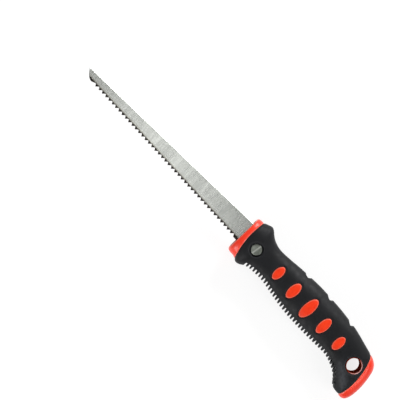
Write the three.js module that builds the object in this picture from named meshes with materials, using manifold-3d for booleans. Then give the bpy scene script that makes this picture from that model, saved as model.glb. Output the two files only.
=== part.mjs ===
// Jab saw for plasterboard: a tapered steel blade whose tang sits in a moulded handle.
// A rubber grip is moulded over the handle core, with oval pads, a band at the front,
// a cap on the butt and a sleeve through the hang hole.
// Millimetres. +X runs from the blade's tip to the butt, +Y from the teeth to the spine
// and +Z up through the thickness: the saw lies on its right side. The shapes are drawn
// about the blade's middle plane, and the last lines move the origin under the middle
// of the whole saw.

import * as THREE from 'three';
import { mergeVertices } from 'three/addons/utils/BufferGeometryUtils.js';
import Module from 'manifold-3d';

const wasm = await Module();
wasm.setup();

const GAP = 0.3; // clearance between pieces that touch

// Blade
const BLADE_THICKNESS = 1.3;
const TOOTH_PITCH = 25.4 / 7;
const TOOTH_COUNT = 42;
const TOOTH_DEPTH = 1.9;
const TOOTH_LINE_START = new THREE.Vector2(-151.3, 2);
const TOOTH_LINE_SLOPE = -0.078;
const SPINE_TIP = new THREE.Vector2(-162.8, 9.9);
const SPINE_HEEL = new THREE.Vector2(13, 7.6);
const BLADE_ROOT_X = 3; // ahead of this the blade's sides are clear of the handle
const TANG_START = new THREE.Vector2(15.5, -3.6);
const TANG_END = new THREE.Vector2(64, -7.5);
const TANG_HALF_HEIGHT = 6;

// Handle outline, seen from the left: heights of its top and bottom edges along X
const TOP_EDGE = [
  [4, 11], [6, 12.4], [8, 13.1], [12, 13.4], [16, 14.7], [19.3, 15.4], [21.6, 14.2], [24, 12],
  [27, 9.8], [30.5, 8.2], [34, 7.2], [38, 6.8], [46, 6.9], [56, 7.4], [66, 7.5], [76, 7.4],
  [84, 6.8], [92, 6],
  [100, 5.1], [108, 3.8], [116, 2.3], [124, 0.1], [131, -2.1],
];
const BOTTOM_EDGE = [
  [4, -17.6], [6, -19], [8, -19.8], [12, -20.2], [14.8, -21.9], [17, -22.5], [19.5, -21.9],
  [22.5, -20.2], [26, -19.3], [32, -19], [38, -19.1], [43, -19.8], [50, -21.5], [60, -23.7],
  [70, -25.3], [80, -26.2], [92, -26.9], [104, -27.2], [112, -27.5], [117, -28.9], [121, -30.7],
  [124, -32.3], [127.2, -34.6], [129.8, -37.4],
];
const BUTT_EDGE = [
  [127.2, -34.6], [129.8, -37.4], [131.8, -40], [134.8, -41.6], [139.5, -42.4], [143, -43.1],
  [145.9, -41.5], [147.9, -37.2], [148.9, -30], [148.9, -24], [148.1, -16.5], [146.9, -11.6],
  [144.6, -8], [141.5, -5.7], [137.5, -4.1], [131, -2.1],
];
const HANDLE_FRONT = 4; // where the lofted body starts, ahead of the cut front face
const BUTT_CENTRE_X = 124; // behind this the sections fan round one point

// Handle sections: half thickness, the power of the superellipse that rounds them, and the
// thickness of the moulded skin over the core
const HALF_THICKNESS = [
  [4, 10], [6, 11.5], [8, 12.1], [12, 12.4], [17, 13], [20, 12.9], [26, 11.7], [34, 10.5],
  [42, 10.4], [55, 11.4], [70, 12.6], [85, 13], [100, 12.7], [112, 12.1], [124, 11.6],
];
const SECTION_POWER = [[4, 2.6], [20, 2.6], [42, 2.4], [95, 2.4], [124, 3]];
const SKIN_AT_EDGE = [[4, 2.6], [14, 2.8], [24, 4.2], [124, 4.2]]; // at the top and bottom edges
const SKIN_AT_FACE = 2.4; // on the flat sides
const PROUD = 0.4; // how far the pads and the sleeve stand out of the grip

// Front band: a face that leans back towards the spine, and a curved back edge
const FRONT_FACE = new THREE.Vector2(6, -3.4);
const FRONT_FACE_LEAN = 0.06;
const BAND_BACK = new THREE.Vector2(10.3, -1);
const BAND_BACK_RADIUS = 60;
const NOSE_SET_BACK = 0.3; // the core's nose behind the band's face

// Butt cap: everything behind an arc
const CAP_ARC_CENTRE = new THREE.Vector2(82.9, -26.6);
const CAP_ARC_RADIUS = 59.2;

// Finger ribs under the grip, and thumb notches on top of it
const RIB_COUNT = 36;
const RIB_PITCH = 3.02;
const FIRST_GROOVE_X = 23.2;
const GROOVE_MOUTH = 2;
const GROOVE_FLOOR = 1.1;
const GROOVE_DEPTH = [[23, 2.8], [60, 3], [80, 2.8], [100, 2.5], [112, 2.2], [118, 1.6], [130, 0.9]];
const NOTCHES = [{ start: 60.4, depth: 1.6 }, { start: 83.7, depth: 1.8 }, { start: 108, depth: 2 }];
const NOTCH_LOW = 3.7; // from a notch's start to its lowest point
const NOTCH_LENGTH = 6.2;

// Oval pads on each side, front to back
const PAD_FIRST_X = 45.2;
const PAD_PITCH = 17;
const PAD_LEAN = 0.12;
const PADS = [
  { y: -6.7, halfWidth: 3.4, halfHeight: 6 },
  { y: -8.7, halfWidth: 3.8, halfHeight: 7.1 },
  { y: -10.6, halfWidth: 4.2, halfHeight: 9.1 },
  { y: -12.5, halfWidth: 3.7, halfHeight: 7.2 },
  { y: -14.5, halfWidth: 3.5, halfHeight: 6.2 },
];

// Hang hole
const HANG_HOLE = new THREE.Vector2(133.1, -18.8);
const HANG_HOLE_RADIUS = 5.7;
const SLEEVE_RADIUS = 6.4;

// Saw bolt through the neck and the tang
const BOLT = new THREE.Vector2(21.2, -5.2);
const BOLT_RECESS_RADIUS = 5.6;
const BOLT_HEAD_RADIUS = 4.2;
const BOLT_HEAD_TOP = 11.3;
const BOLT_HEAD_HEIGHT = 2;
const BOLT_SHANK_RADIUS = 2;
const BOLT_SHANK_END = -5.5;
const BARREL_RADIUS = 3.2;
const BARREL_END = 6;
const DRIVER_SLOT = { width: 1.2, depth: 1.1, turn: -0.2 };

// Pins behind the bolt that stop the tang from turning
const TANG_PIN_XS = [38, 54];
const TANG_PIN_RADIUS = 2;
const TANG_PIN_HALF_LENGTH = 6.8;

const TALL = 60; // a cut this thick goes right through
const FAR = 200; // past every edge of the handle

// Smooth curve through [x, y] pairs, as a function of x
function curveThrough(pairs) {
  const last = pairs.length - 1;
  const secant = (i) => (pairs[i + 1][1] - pairs[i][1]) / (pairs[i + 1][0] - pairs[i][0]);
  const slopes = pairs.map((pair, i) => {
    const before = secant(Math.max(i - 1, 0));
    const after = secant(Math.min(i, last - 1));
    return (before + after) / 2;
  });
  return (x) => {
    const next = pairs.findIndex((pair) => pair[0] > x);
    const i = next < 0 ? last - 1 : Math.max(next - 1, 0);
    const span = pairs[i + 1][0] - pairs[i][0];
    const t = THREE.MathUtils.clamp((x - pairs[i][0]) / span, 0, 1);
    const rise = t * t * (3 - 2 * t);
    const leave = t * (1 - t) * (1 - t) * span * slopes[i];
    const arrive = t * t * (t - 1) * span * slopes[i + 1];
    return pairs[i][1] + (pairs[i + 1][1] - pairs[i][1]) * rise + leave + arrive;
  };
}

const topEdge = curveThrough(TOP_EDGE);
const bottomEdge = curveThrough(BOTTOM_EDGE);
const halfThickness = curveThrough(HALF_THICKNESS);
const sectionPower = curveThrough(SECTION_POWER);
const skinAtEdge = curveThrough(SKIN_AT_EDGE);
const grooveDepth = curveThrough(GROOVE_DEPTH);

// Closed manifold solid of a three.js geometry
function solid(geometry) {
  const bare = geometry.clone();
  bare.deleteAttribute('normal');
  bare.deleteAttribute('uv');
  const merged = mergeVertices(bare, 1e-4);
  const kept = [];
  const index = merged.index.array;
  for (let i = 0; i < index.length; i += 3) {
    const [a, b, c] = [index[i], index[i + 1], index[i + 2]];
    if (a !== b && b !== c && c !== a) kept.push(a, b, c);
  }
  return new wasm.Manifold(new wasm.Mesh({
    numProp: 3,
    vertProperties: new Float32Array(merged.attributes.position.array),
    triVerts: new Uint32Array(kept),
  }));
}

// three.js geometry of a manifold solid
function geometryOf(manifold) {
  const { vertProperties, triVerts } = manifold.getMesh();
  const geometry = new THREE.BufferGeometry();
  geometry.setAttribute('position', new THREE.BufferAttribute(new Float32Array(vertProperties), 3));
  geometry.setIndex(new THREE.BufferAttribute(new Uint32Array(triVerts), 1));
  geometry.computeVertexNormals();
  return geometry;
}

// A side outline, or several, pushed through the thickness from low to high
function prism(shapes, low = -TALL / 2, high = TALL / 2) {
  const geometry = new THREE.ExtrudeGeometry(shapes, {
    depth: high - low,
    bevelEnabled: false,
    curveSegments: 20,
  });
  return geometry.translate(0, 0, low);
}

function disc(centre, radius, low = -TALL / 2, high = TALL / 2, sides = 24) {
  const geometry = new THREE.CylinderGeometry(radius, radius, high - low, sides);
  return geometry.rotateX(Math.PI / 2).translate(centre.x, centre.y, (low + high) / 2);
}

// Points round the handle's outline, each with the point inside that it rounds towards
function handleStations(sideXs, buttSteps) {
  const middle = (x) => new THREE.Vector2(x, (topEdge(x) + bottomEdge(x)) / 2);
  const station = (x, y, section) => ({
    edge: new THREE.Vector2(x, y),
    inside: middle(section),
    half: halfThickness(section),
    power: sectionPower(section),
    edgeSkin: skinAtEdge(section),
  });
  const under = sideXs.map((x) => station(x, bottomEdge(x), x));
  const over = sideXs.map((x) => station(x, topEdge(x), x)).reverse();
  const lead = [BUTT_CENTRE_X - 3, BUTT_CENTRE_X];
  const route = [
    ...lead.map((x) => [x, bottomEdge(x)]),
    ...BUTT_EDGE,
    ...lead.reverse().map((x) => [x, topEdge(x)]),
  ];
  const butt = new THREE.CatmullRomCurve3(route.map(([x, y]) => new THREE.Vector3(x, y, 0)));
  const spans = route.length - 1;
  const round = [];
  for (let i = 1; i < buttSteps; i += 1) {
    const { x, y } = butt.getPoint((1 + (spans - 2) * (i / buttSteps)) / spans);
    round.push(station(x, y, BUTT_CENTRE_X));
  }
  return [...under, ...round, ...over];
}

const FINE = {
  stations: handleStations([
    HANDLE_FRONT, 6, 8, 12, 14, 15.5, 17, 18.5, 20, 21.5, 23, 24.5, 27, 30, 34, 39, 46,
    55, 65, 75, 85, 95, 105, 112, 117, 121, BUTT_CENTRE_X,
  ], 26),
  latitudes: [-90, -66, -44, -22, 0, 22, 44, 66, 90],
};
const COARSE = {
  stations: handleStations([HANDLE_FRONT, 6, 12, 16, 20, 24, 30, 40, 60, 80, 100, 114, BUTT_CENTRE_X], 13),
  latitudes: [-90, -60, -36, -12, 12, 36, 60, 90],
};

// The handle's rounded body, less its skin if wanted, then grown all over
function handleBody({ stations, latitudes }, skinned, growth) {
  const positions = [];
  for (const { edge, inside, half, power, edgeSkin } of stations) {
    const reach = edge.clone().sub(inside);
    reach.setLength(reach.length() + growth - (skinned ? 0 : edgeSkin));
    const height = half + growth - (skinned ? 0 : SKIN_AT_FACE);
    for (const latitude of latitudes) {
      const angle = THREE.MathUtils.degToRad(latitude);
      const along = Math.abs(latitude) === 90 ? 0 : Math.cos(angle) ** (2 / power);
      const up = Math.sign(angle) * Math.abs(Math.sin(angle)) ** (2 / power);
      positions.push(inside.x + reach.x * along, inside.y + reach.y * along, height * up);
    }
  }
  const rows = latitudes.length;
  const columns = stations.length;
  const at = (column, row) => column * rows + row;
  const faces = [];
  for (let column = 0; column < columns - 1; column += 1) {
    for (let row = 0; row < rows - 1; row += 1) {
      faces.push(at(column, row), at(column + 1, row), at(column + 1, row + 1));
      faces.push(at(column, row), at(column + 1, row + 1), at(column, row + 1));
    }
  }
  const hub = columns * rows;
  positions.push(stations[0].inside.x, stations[0].inside.y, 0);
  for (let row = 0; row < rows - 1; row += 1) {
    faces.push(hub, at(0, row), at(0, row + 1));
    faces.push(hub, at(columns - 1, row + 1), at(columns - 1, row));
  }
  const geometry = new THREE.BufferGeometry();
  geometry.setAttribute('position', new THREE.Float32BufferAttribute(positions, 3));
  geometry.setIndex(faces);
  return solid(geometry);
}

const outerBody = handleBody(FINE, true, 0);
const proudBody = handleBody(FINE, true, PROUD);
const coreBody = handleBody(COARSE, false, 0);
const clearOfCore = handleBody(COARSE, false, GAP);
const skin = outerBody.subtract(clearOfCore);

// Everything ahead of the handle's front face
function aheadOfFront(setBack) {
  const face = (y) => FRONT_FACE.x + setBack + FRONT_FACE_LEAN * (y - FRONT_FACE.y);
  const shape = new THREE.Shape();
  shape.moveTo(-FAR, -FAR);
  shape.lineTo(face(-FAR), -FAR);
  shape.lineTo(face(FAR), FAR);
  shape.lineTo(-FAR, FAR);
  return solid(prism(shape));
}

// Everything behind the band's back edge, an arc that is hollow towards the butt
function behindBand(setBack) {
  const centre = new THREE.Vector2(BAND_BACK.x + BAND_BACK_RADIUS, BAND_BACK.y);
  const shape = new THREE.Shape();
  const halfAngle = 0.8;
  const radius = BAND_BACK_RADIUS - setBack;
  shape.absarc(centre.x, centre.y, radius, Math.PI - halfAngle, Math.PI + halfAngle, false);
  shape.lineTo(FAR, -FAR);
  shape.lineTo(FAR, FAR);
  return solid(prism(shape));
}

// Everything ahead of the butt cap's arc
function aheadOfCap(setBack) {
  const { x, y } = CAP_ARC_CENTRE;
  const shape = new THREE.Shape();
  shape.absarc(x, y, CAP_ARC_RADIUS - setBack, -Math.PI / 2, Math.PI / 2, false);
  shape.lineTo(-FAR, y + CAP_ARC_RADIUS - setBack);
  shape.lineTo(-FAR, y - CAP_ARC_RADIUS + setBack);
  return solid(prism(shape));
}

function ellipse(centre, halfWidth, halfHeight) {
  const shape = new THREE.Shape();
  shape.absellipse(centre.x, centre.y, halfWidth, halfHeight, 0, Math.PI * 2, false, -PAD_LEAN);
  return shape;
}

// Grooves between the finger ribs, each square to the bottom edge
function fingerGrooves() {
  const shapes = [];
  let x = FIRST_GROOVE_X;
  for (let i = 0; i < RIB_COUNT; i += 1) {
    const step = 0.5;
    const along = new THREE.Vector2(2 * step, bottomEdge(x + step) - bottomEdge(x - step)).normalize();
    const inward = new THREE.Vector2(-along.y, along.x);
    const foot = new THREE.Vector2(x, bottomEdge(x));
    const depth = grooveDepth(x);
    const corner = (across, deep) => foot.clone()
      .addScaledVector(along, across)
      .addScaledVector(inward, deep);
    shapes.push(new THREE.Shape([
      corner(-GROOVE_MOUTH, -depth - 1),
      corner(GROOVE_MOUTH, -depth - 1),
      corner(GROOVE_MOUTH / 2, 0),
      corner(GROOVE_FLOOR / 2, depth),
      corner(-GROOVE_FLOOR / 2, depth),
      corner(-GROOVE_MOUTH / 2, 0),
    ]));
    x += RIB_PITCH * along.x;
  }
  return shapes;
}

// One thumb notch: a long slope down, a round bottom and a short rise
function thumbNotch({ start, depth }) {
  const low = start + NOTCH_LOW;
  const end = start + NOTCH_LENGTH;
  const shape = new THREE.Shape();
  shape.moveTo(start - 1, topEdge(start) + 3);
  shape.lineTo(start, topEdge(start));
  shape.quadraticCurveTo(start + 2, topEdge(low) - depth, low, topEdge(low) - depth);
  shape.quadraticCurveTo(end - 1, topEdge(low) - depth, end, topEdge(end));
  shape.lineTo(end + 1, topEdge(end) + 3);
  return shape;
}

function cutAll(body, cutters) {
  return cutters.reduce((left, cutter) => left.subtract(cutter), body);
}

const padCentres = PADS.map((pad, i) => new THREE.Vector2(PAD_FIRST_X + i * PAD_PITCH, pad.y));

function gripOvermould() {
  const body = skin.intersect(behindBand(GAP)).intersect(aheadOfCap(GAP));
  const windows = PADS.map((pad, i) => (
    ellipse(padCentres[i], pad.halfWidth + GAP, pad.halfHeight + GAP)
  ));
  return cutAll(body, [
    ...fingerGrooves().map((shape) => solid(prism(shape))),
    ...NOTCHES.map((notch) => solid(prism(thumbNotch(notch)))),
    ...windows.map((shape) => solid(prism(shape))),
    solid(disc(HANG_HOLE, SLEEVE_RADIUS + GAP)),
    solid(disc(BOLT, BOLT_RECESS_RADIUS)),
  ]);
}

function frontBand() {
  return skin.subtract(aheadOfFront(0)).subtract(behindBand(0));
}

function buttCap() {
  return skin.subtract(aheadOfCap(0));
}

function ovalPad(index, side) {
  const { halfWidth, halfHeight } = PADS[index];
  const shape = ellipse(padCentres[index], halfWidth, halfHeight);
  const column = side > 0 ? prism(shape, 0, TALL / 2) : prism(shape, -TALL / 2, 0);
  return proudBody.intersect(solid(column)).subtract(clearOfCore);
}

function hangHoleSleeve() {
  const bore = solid(disc(HANG_HOLE, HANG_HOLE_RADIUS));
  return proudBody.intersect(solid(disc(HANG_HOLE, SLEEVE_RADIUS))).subtract(bore);
}

const toothPoint = (distance, depth) => new THREE.Vector2(
  TOOTH_LINE_START.x + distance,
  TOOTH_LINE_START.y + distance * TOOTH_LINE_SLOPE + depth,
);

const tangPinCentres = TANG_PIN_XS.map((x) => {
  const share = (x - TANG_START.x) / (TANG_END.x - TANG_START.x);
  return new THREE.Vector2(x, THREE.MathUtils.lerp(TANG_START.y, TANG_END.y, share));
});

function tangOutline(shape, clearance) {
  const half = TANG_HALF_HEIGHT + clearance;
  const end = TANG_END.x + clearance;
  shape.lineTo(TANG_START.x, TANG_START.y + half);
  shape.lineTo(end - half / 2, TANG_END.y + half);
  shape.quadraticCurveTo(end, TANG_END.y + half, end, TANG_END.y);
  shape.quadraticCurveTo(end, TANG_END.y - half, end - half / 2, TANG_END.y - half);
}

// Where the spine and the line of the tooth tips cross the blade's root
const rootFoot = toothPoint(BLADE_ROOT_X - TOOTH_LINE_START.x, 0);
const rootTop = SPINE_TIP.clone().lerp(
  SPINE_HEEL,
  (BLADE_ROOT_X - SPINE_TIP.x) / (SPINE_HEEL.x - SPINE_TIP.x),
);

// The toothed blade, ahead of its root
function toothedShape() {
  const shape = new THREE.Shape();
  shape.moveTo(SPINE_TIP.x, SPINE_TIP.y);
  const tipFoot = toothPoint(-3.8, 0.4);
  shape.quadraticCurveTo(SPINE_TIP.x + 3.5, tipFoot.y + 0.6, tipFoot.x, tipFoot.y);
  for (let i = 0; i < TOOTH_COUNT; i += 1) {
    const start = i * TOOTH_PITCH;
    const points = [
      toothPoint(start, TOOTH_DEPTH),
      toothPoint(start + 0.3 * TOOTH_PITCH, 0),
      toothPoint(start + 0.88 * TOOTH_PITCH, TOOTH_DEPTH),
    ];
    for (const { x, y } of points) shape.lineTo(x, y);
  }
  const lastTooth = toothPoint((TOOTH_COUNT + 0.3) * TOOTH_PITCH, 0);
  shape.lineTo(lastTooth.x, lastTooth.y);
  shape.lineTo(rootFoot.x, rootFoot.y);
  shape.lineTo(rootTop.x, rootTop.y);
  return shape;
}

// The heel and the tang, behind the root, with the holes for the bolt and the pins
function tangShape() {
  const heelFoot = toothPoint(SPINE_HEEL.x - TOOTH_LINE_START.x, 0);
  const shape = new THREE.Shape();
  shape.moveTo(rootFoot.x, rootFoot.y);
  shape.lineTo(heelFoot.x, heelFoot.y);
  const back = new THREE.Path();
  back.moveTo(SPINE_HEEL.x, SPINE_HEEL.y);
  tangOutline(back, 0);
  for (const { x, y } of back.getPoints(6).reverse()) shape.lineTo(x, y);
  shape.lineTo(rootTop.x, rootTop.y);
  const holes = [
    { centre: BOLT, radius: BARREL_RADIUS + GAP },
    ...tangPinCentres.map((centre) => ({ centre, radius: TANG_PIN_RADIUS + GAP })),
  ];
  for (const { centre, radius } of holes) {
    shape.holes.push(new THREE.Path().absarc(centre.x, centre.y, radius, 0, Math.PI * 2, true));
  }
  return shape;
}

function sawBlade() {
  const half = BLADE_THICKNESS / 2;
  const [toothed, tang] = [toothedShape(), tangShape()].map((shape) => solid(prism(shape, -half, half)));
  return toothed.add(tang);
}

// The slot in the core that takes the heel of the blade and the tang
function tangSlot() {
  const shape = new THREE.Shape();
  const heelTop = SPINE_HEEL.y + GAP;
  const heelBack = SPINE_HEEL.x + GAP;
  const heelFoot = toothPoint(SPINE_HEEL.x - TOOTH_LINE_START.x, -GAP).y;
  shape.moveTo(0, heelTop);
  shape.lineTo(heelBack, heelTop);
  tangOutline(shape, GAP);
  shape.lineTo(heelBack, heelFoot);
  shape.lineTo(0, toothPoint(-TOOTH_LINE_START.x, -GAP).y);
  const half = BLADE_THICKNESS / 2 + GAP;
  return solid(prism(shape, -half, half));
}

function handleCore() {
  const seatFloor = BOLT_HEAD_TOP - BOLT_HEAD_HEIGHT - GAP;
  const seatRadius = BOLT_HEAD_RADIUS + GAP;
  return cutAll(coreBody.subtract(aheadOfFront(NOSE_SET_BACK)), [
    tangSlot(),
    solid(disc(BOLT, BARREL_RADIUS + GAP)),
    solid(disc(BOLT, seatRadius, seatFloor, TALL / 2)),
    solid(disc(BOLT, seatRadius, -TALL / 2, -seatFloor)),
    ...tangPinCentres.map((centre) => solid(disc(centre, TANG_PIN_RADIUS + GAP, undefined, undefined, 20))),
    solid(disc(HANG_HOLE, SLEEVE_RADIUS + GAP)),
  ]);
}

// A turned piece: [radius, height] pairs round Z, moved onto the bolt's axis
function turned(profile) {
  const points = profile.map(([radius, height]) => new THREE.Vector2(radius, height));
  return new THREE.LatheGeometry(points, 32).rotateX(Math.PI / 2);
}

function withDriverSlot(piece) {
  const slot = new THREE.BoxGeometry(DRIVER_SLOT.width, 4 * BOLT_HEAD_RADIUS, 2 * DRIVER_SLOT.depth);
  slot.rotateZ(DRIVER_SLOT.turn).translate(0, 0, BOLT_HEAD_TOP);
  return geometryOf(solid(piece).subtract(solid(slot)));
}

function boltHead() {
  const rim = BOLT_HEAD_TOP - 0.6;
  const under = BOLT_HEAD_TOP - BOLT_HEAD_HEIGHT;
  return {
    under,
    top: [[BOLT_HEAD_RADIUS, under], [BOLT_HEAD_RADIUS, rim], [BOLT_HEAD_RADIUS - 0.6, BOLT_HEAD_TOP],
      [0, BOLT_HEAD_TOP]],
  };
}

function bladeScrew() {
  const { under, top } = boltHead();
  return withDriverSlot(turned([
    [0, BOLT_SHANK_END],
    [BOLT_SHANK_RADIUS, BOLT_SHANK_END],
    [BOLT_SHANK_RADIUS, under],
    ...top,
  ]));
}

function bladeNut() {
  const { under, top } = boltHead();
  const boreRadius = BOLT_SHANK_RADIUS + GAP;
  const boreFloor = -BOLT_SHANK_END + GAP;
  const nut = withDriverSlot(turned([
    [0, boreFloor],
    [boreRadius, boreFloor],
    [boreRadius, -BARREL_END],
    [BARREL_RADIUS, -BARREL_END],
    [BARREL_RADIUS, under],
    ...top,
  ]));
  return nut.rotateX(Math.PI);
}

const STEEL = { color: 0xc2c6c0, roughness: 0.38, metalness: 1 };
const ZINC = { color: 0xb4b8bc, roughness: 0.4, metalness: 1 };
const BLACK_RUBBER = { color: 0x2b2c2e, roughness: 0.75, metalness: 0 };
const BLACK_PLASTIC = { color: 0x2a2b2d, roughness: 0.5, metalness: 0 };
const ORANGE_PLASTIC = { color: 0xe8401f, roughness: 0.4, metalness: 0 };
const ORANGE_RUBBER = { color: 0xf0431c, roughness: 0.55, metalness: 0 };

const saw = new THREE.Group();

function addPiece(name, geometry, finish, place = new THREE.Vector2()) {
  const mesh = new THREE.Mesh(geometry, new THREE.MeshStandardMaterial(finish));
  mesh.name = name;
  mesh.position.set(place.x, place.y, 0);
  saw.add(mesh);
}

addPiece('saw_blade', geometryOf(sawBlade()), STEEL);
addPiece('handle_core', geometryOf(handleCore()), BLACK_PLASTIC);
addPiece('grip_overmould', geometryOf(gripOvermould()), BLACK_RUBBER);
addPiece('front_band', geometryOf(frontBand()), ORANGE_PLASTIC);
addPiece('butt_cap', geometryOf(buttCap()), ORANGE_PLASTIC);
addPiece('hang_hole_sleeve', geometryOf(hangHoleSleeve()), ORANGE_PLASTIC);
PADS.forEach((pad, i) => {
  addPiece(`left_pad_${i + 1}`, geometryOf(ovalPad(i, 1)), ORANGE_RUBBER);
  addPiece(`right_pad_${i + 1}`, geometryOf(ovalPad(i, -1)), ORANGE_RUBBER);
});
addPiece('blade_screw', bladeScrew(), ZINC, BOLT);
addPiece('blade_nut', bladeNut(), ZINC, BOLT);
tangPinCentres.forEach((centre, i) => {
  const origin = new THREE.Vector2();
  const pin = disc(origin, TANG_PIN_RADIUS, -TANG_PIN_HALF_LENGTH, TANG_PIN_HALF_LENGTH, 20);
  addPiece(`tang_pin_${i + 1}`, pin, ZINC, centre);
});

const box = new THREE.Box3().setFromObject(saw);
const middle = box.getCenter(new THREE.Vector3());
saw.position.set(-middle.x, -middle.y, -box.min.z);

export default saw;
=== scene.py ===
"""Looks of a jab saw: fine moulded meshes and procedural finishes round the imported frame.

Shapes are drawn in millimetres about the blade's middle plane, +X from the tip to the butt and
+Y from the teeth to the spine, and placed on the frame by the bolt and the blade.
"""

import math

import bmesh
import bpy
import numpy as np
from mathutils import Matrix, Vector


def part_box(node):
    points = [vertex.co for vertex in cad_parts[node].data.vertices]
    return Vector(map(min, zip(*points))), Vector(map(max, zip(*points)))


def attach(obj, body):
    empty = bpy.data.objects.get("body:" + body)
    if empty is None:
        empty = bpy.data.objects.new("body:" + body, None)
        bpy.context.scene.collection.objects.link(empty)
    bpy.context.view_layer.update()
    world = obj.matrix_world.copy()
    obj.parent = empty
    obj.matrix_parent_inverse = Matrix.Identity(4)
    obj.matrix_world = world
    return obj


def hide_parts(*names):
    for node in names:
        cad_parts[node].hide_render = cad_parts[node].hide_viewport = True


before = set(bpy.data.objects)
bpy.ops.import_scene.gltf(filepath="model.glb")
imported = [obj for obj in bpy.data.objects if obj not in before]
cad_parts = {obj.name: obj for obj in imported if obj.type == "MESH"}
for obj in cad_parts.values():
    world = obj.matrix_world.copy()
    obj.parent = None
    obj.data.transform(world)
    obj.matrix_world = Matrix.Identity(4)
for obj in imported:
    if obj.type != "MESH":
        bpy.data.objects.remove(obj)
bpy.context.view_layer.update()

MM = 0.001
GAP = 0.3  # clearance between pieces that touch

# Blade
BLADE_THICKNESS = 1.3
TOOTH_PITCH = 25.4 / 7
TOOTH_COUNT = 42
TOOTH_DEPTH = 1.9
TOOTH_LINE_START = np.array([-151.3, 2.0])
TOOTH_LINE_SLOPE = -0.078
SPINE_TIP = np.array([-162.8, 9.9])
SPINE_HEEL = np.array([13.0, 7.6])
TANG_START = np.array([15.5, -3.6])
TANG_END = np.array([64.0, -7.5])
TANG_HALF_HEIGHT = 6.0
GROUND_WIDTH = 0.62  # ground face along a tooth's edge
GROUND_DEPTH = 0.95  # how far it eats into the thickness
SPINE_CHAMFER = 0.28

# Handle outline, seen from the left: heights of its top and bottom edges along X
TOP_EDGE = [
    (4, 11), (6, 12.4), (8, 13.1), (12, 13.4), (16, 14.7), (19.3, 15.4), (21.6, 14.2), (24, 12),
    (27, 9.8), (30.5, 8.2), (34, 7.2), (38, 6.8), (46, 6.9), (56, 7.4), (66, 7.5), (76, 7.4),
    (84, 6.8), (92, 6), (100, 5.1), (108, 3.8), (116, 2.3), (124, 0.1), (131, -2.1),
]
BOTTOM_EDGE = [
    (4, -17.6), (6, -19), (8, -19.8), (12, -20.2), (14.8, -21.9), (17, -22.5), (19.5, -21.9),
    (22.5, -20.2), (26, -19.3), (32, -19), (38, -19.1), (43, -19.8), (50, -21.5), (60, -23.7),
    (70, -25.3), (80, -26.2), (92, -26.9), (104, -27.2), (112, -27.5), (117, -28.9),
    (121, -30.7), (124, -32.3), (127.2, -34.6), (129.8, -37.4),
]
BUTT_EDGE = [
    (121, -30.7), (124, -32.3), (127.2, -34.6), (129.8, -37.4), (131.8, -40), (134.8, -41.6),
    (139.5, -42.4), (143, -43.1), (145.9, -41.5), (147.9, -37.2), (148.9, -30), (148.9, -24),
    (148.1, -16.5), (146.9, -11.6), (144.6, -8), (141.5, -5.7), (137.5, -4.1), (131, -2.1),
    (124, 0.1), (121, 0.98),
]
HANDLE_FRONT = 4.0  # where the lofted body starts, ahead of the cut front face
BUTT_CENTRE_X = 124.0  # behind this the sections fan round one point

# Handle sections: half thickness, the power of the superellipse that rounds them, and the
# thickness of the moulded skin over the core
HALF_THICKNESS = [
    (4, 10), (6, 11.5), (8, 12.1), (12, 12.4), (17, 13), (20, 12.9), (26, 11.7), (34, 10.5),
    (42, 10.4), (55, 11.4), (70, 12.6), (85, 13), (100, 12.7), (112, 12.1), (124, 11.6),
]
SECTION_POWER = [(4, 2.6), (20, 2.6), (42, 2.4), (95, 2.4), (124, 3)]
SKIN_AT_EDGE = [(4, 2.6), (14, 2.8), (24, 4.2), (124, 4.2)]
SKIN_AT_FACE = 2.4
PROUD = 0.4  # how far the pads and the sleeve stand out of the grip

# Front band and butt cap
FRONT_FACE = np.array([6.0, -3.4])
FRONT_FACE_LEAN = 0.06
NOSE_SET_BACK = 0.3  # core's nose behind the band's front face
BAND_BACK_CENTRE = np.array([70.3, -1.0])
BAND_BACK_RADIUS = 60.0
CAP_ARC_CENTRE = np.array([82.9, -26.6])
CAP_ARC_RADIUS = 59.2
PARTING_ROUND = 1.0  # how far from a parting line the surfaces start to dip

# Finger ribs under the grip, and thumb notches on top of it
RIB_COUNT = 39
RIB_PITCH = 3.02
RIB_HALF_WIDTH = 5.2  # across the thickness
FIRST_GROOVE_X = 23.2
GROOVE_DEPTH = [
    (23, 2.8), (60, 3), (80, 2.9), (100, 2.7), (112, 2.5), (118, 1.9), (126, 1.5), (132, 1.2),
]
GROOVE_FLOOR = 0.55  # half width of a groove's floor
GROOVE_MOUTH = 1.0  # half width of its mouth
DIMPLES_FROM_X = 115.0  # behind this a groove ends in a dimple on the face
DIMPLE_DEPTH = 1.9
DIMPLE_INSET = 1.9  # from the edge to a dimple's middle
DIMPLE_WIDTH = 0.8
NOTCHES = [(60.4, 1.6), (83.7, 1.8), (108.0, 2.0)]  # start, depth
NOTCH_LOW = 3.7
NOTCH_LENGTH = 6.2
SOFTNESS = 0.45  # how softly a groove or notch runs out on the body

# Heel: where its soft slope to the lower edge rises and falls along X, and from the edge inwards
HEEL_RISE = (116.0, 125.0)
HEEL_FALL = (136.0, 144.0)
HEEL_INSET = (1.0, 11.0)
HEEL_THINNING = 0.2  # share of the thickness lost at the edge

# Painted highlight, a lighter band across the heel: where it starts and ends along X, and its direction
# across
HEEL_SHEEN_MIDDLE = np.array([125.0, -25.5])
HEEL_SHEEN_ACROSS = np.array([0.569, 0.822])
HEEL_SHEEN_WIDTH = 3.0
HEEL_SHEEN_RISE = (120.0, 128.0)
HEEL_SHEEN_FALL = (136.0, 142.0)

# Oval pads on each side, front to back: height of the middle, half width, half height
PAD_FIRST_X = 45.2
PAD_PITCH = 17.0
PAD_LEAN = 0.12
PADS = [(-6.7, 3.4, 6), (-8.7, 3.8, 7.1), (-10.6, 4.2, 9.1), (-12.5, 3.7, 7.2), (-14.5, 3.5, 6.2)]
WINDOW_ROUND = 1.4  # how far from a pad or a hole the grip starts to dip
PAD_ROUND = 0.9

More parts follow.
